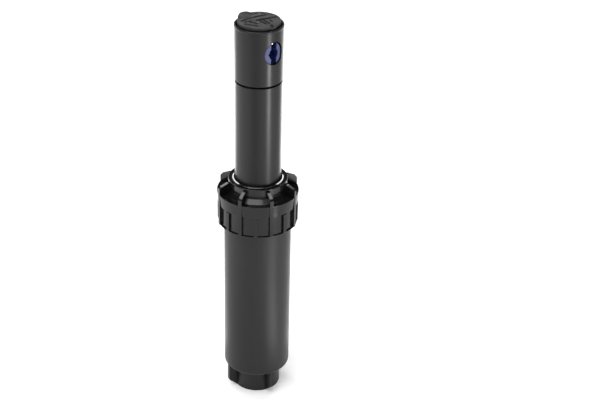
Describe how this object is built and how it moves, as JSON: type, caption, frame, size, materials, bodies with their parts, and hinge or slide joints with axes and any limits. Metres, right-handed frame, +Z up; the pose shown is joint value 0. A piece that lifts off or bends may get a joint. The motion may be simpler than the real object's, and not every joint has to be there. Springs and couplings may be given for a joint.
{
  "type": "pop up sprinkler",
  "caption": "Gear driven pop up lawn sprinkler: threaded inlet body, ribbed screw cap, sliding riser and a turning turret with a blue nozzle and rubber cover.",
  "frame": {"origin": "centre of the inlet's lower rim, where the sprinkler stands", "axes": "+Z up along the riser, -Y the way the nozzle looks at rest"},
  "size_m": [0.0602, 0.0602, 0.3054],
  "materials": {
    "body_black": "satin charcoal black moulded plastic",
    "cap_black": "glossier black moulded plastic",
    "seal_rubber": "black elastomer",
    "cover_rubber": "dark grey moulded rubber",
    "nozzle_blue": "lavender blue moulded plastic",
    "inner_plastic": "natural white acetal",
    "filter_plastic": "dark grey moulded plastic",
    "steel": "stainless steel"
  },
  "bodies": {
    "case": {"body_case": "body_black", "body_cap": "cap_black", "wiper_seal": "seal_rubber", "spring_seat": "inner_plastic", "retract_spring": "steel"},
    "ratchet": {"ratchet_ring": "inner_plastic"},
    "riser": {"riser_tube": "body_black", "filter_screen": "filter_plastic", "stator_plate": "inner_plastic", "gear_case_base": "inner_plastic", "gear_case": "inner_plastic", "arbor_a": "steel", "arbor_b": "steel", "thrust_washer": "inner_plastic", "riser_bush": "inner_plastic", "shaft_seal": "seal_rubber"},
    "turbine": {"turbine_wheel": "inner_plastic", "turbine_shaft": "steel"},
    "gear_1": {"compound_gear_1": "inner_plastic"},
    "gear_2": {"compound_gear_2": "inner_plastic"},
    "gear_3": {"compound_gear_3": "inner_plastic"},
    "gear_4": {"compound_gear_4": "inner_plastic"},
    "trip": {"trip_lever": "inner_plastic"},
    "turret": {"output_gear": "inner_plastic", "output_shaft": "inner_plastic", "turret_housing": "body_black", "turret_deck": "body_black", "flow_elbow": "body_black", "nozzle_insert": "nozzle_blue", "rubber_cover": "cover_rubber"},
    "arc_stop": {"arc_ring": "inner_plastic"},
    "arc_adjuster": {"arc_screw": "inner_plastic"},
    "radius_adjuster": {"radius_screw": "steel"}
  },
  "joints": [
    {"name": "pop_up", "type": "slide", "parent": "case", "child": "ratchet", "axis": [0, 0, 1], "range_m": [-0.12, 0], "deforming": ["retract_spring"]},
    {"name": "riser_ratchet", "type": "hinge", "parent": "ratchet", "child": "riser", "pos_m": [0, 0, 0.1446], "axis": [0, 0, 1], "continuous": true},
    {"name": "turret_turn", "type": "hinge", "parent": "riser", "child": "turret", "pos_m": [0, 0, 0.2579], "axis": [0, 0, 1], "range_deg": [-180, 180]},
    {"name": "gear_4_spin", "type": "hinge", "parent": "riser", "child": "gear_4", "pos_m": [0.00432, 0.00287, 0.2057], "axis": [0, 0, 1], "continuous": true},
    {"name": "gear_3_spin", "type": "hinge", "parent": "riser", "child": "gear_3", "pos_m": [-0.00432, 0.00287, 0.1967], "axis": [0, 0, 1], "continuous": true},
    {"name": "gear_2_spin", "type": "hinge", "parent": "riser", "child": "gear_2", "pos_m": [0.00432, 0.00287, 0.1877], "axis": [0, 0, 1], "continuous": true},
    {"name": "gear_1_spin", "type": "hinge", "parent": "riser", "child": "gear_1", "pos_m": [-0.00432, 0.00287, 0.1787], "axis": [0, 0, 1], "continuous": true},
    {"name": "turbine_spin", "type": "hinge", "parent": "riser", "child": "turbine", "pos_m": [0, 0, 0.1635], "axis": [0, 0, 1], "continuous": true},
    {"name": "trip_throw", "type": "hinge", "parent": "riser", "child": "trip", "pos_m": [0, 0.0103, 0.2535], "axis": [0, 0, 1], "range_deg": [0, 24]},
    {"name": "arc_set", "type": "hinge", "parent": "turret", "child": "arc_stop", "pos_m": [0, 0, 0.264], "axis": [0, 0, 1], "range_deg": [-140, 180]},
    {"name": "arc_screw_turn", "type": "hinge", "parent": "turret", "child": "arc_adjuster", "pos_m": [0.00881, 0.00739, 0.28], "axis": [0, 0, 1], "continuous": true},
    {"name": "radius_screw_drive", "type": "slide", "parent": "turret", "child": "radius_adjuster", "axis": [0, 0, 1], "range_m": [-0.0055, 0]}
  ],
  "couplings": [
    {"joint": "gear_4_spin", "follows": "turret_turn", "ratio": 3.3333},
    {"joint": "gear_3_spin", "follows": "turret_turn", "ratio": -9.6296},
    {"joint": "gear_2_spin", "follows": "turret_turn", "ratio": 27.819},
    {"joint": "gear_1_spin", "follows": "turret_turn", "ratio": -80.366},
    {"joint": "turbine_spin", "follows": "turret_turn", "ratio": 130.59},
    {"joint": "arc_screw_turn", "follows": "arc_set", "ratio": -4.75}
  ]
}
